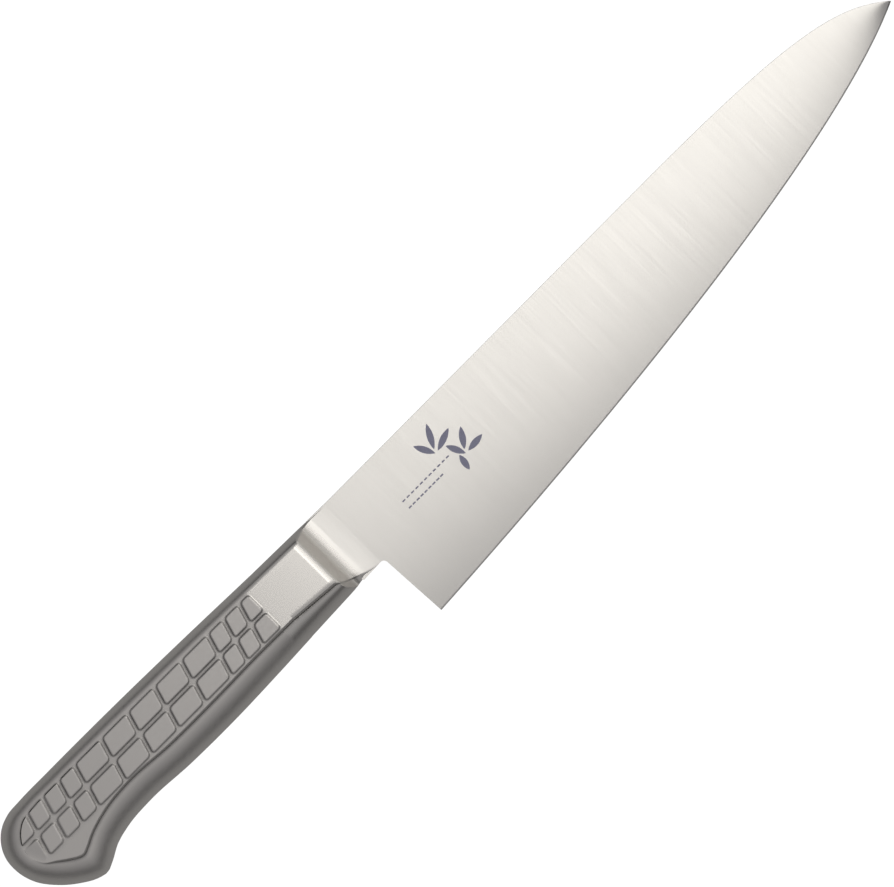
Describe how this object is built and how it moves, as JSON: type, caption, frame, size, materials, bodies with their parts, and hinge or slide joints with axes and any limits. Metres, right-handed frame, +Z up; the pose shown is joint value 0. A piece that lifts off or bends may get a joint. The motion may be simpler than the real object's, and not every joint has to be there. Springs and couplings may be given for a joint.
{
  "type": "chef knife",
  "caption": "All-steel chef's knife with a curved blade, solid bolster and a hollow pressed handle with rows of embossed tiles.",
  "frame": {"origin": "middle of the lowest face of the knife's bounding box, with the knife lying on its left face", "axes": "+X along the knife towards the tip, +Y across the blade towards the spine, +Z up out of the right face; the blade's mid-plane is level"},
  "size_m": [0.3438, 0.0462, 0.0177],
  "materials": {
    "blade_steel": "fine satin grind running from spine to edge, brighter sharpened bevel",
    "polished_steel": "fine polish",
    "pressed_steel": "fine matt blasted finish with rubbed tile edges",
    "seam_weld": "weld ground flush and blasted with the shells",
    "polished_weld": "weld ground flush and polished with the bolster"
  },
  "bodies": {
    "root": {"blade": "blade_steel", "bolster": "polished_steel", "handle_shell_right": "pressed_steel", "handle_shell_left": "pressed_steel", "handle_seam_weld": "seam_weld", "bolster_ring_weld": "polished_weld", "neck_weld_right": "polished_weld", "neck_weld_left": "polished_weld"}
  },
  "joints": []
}
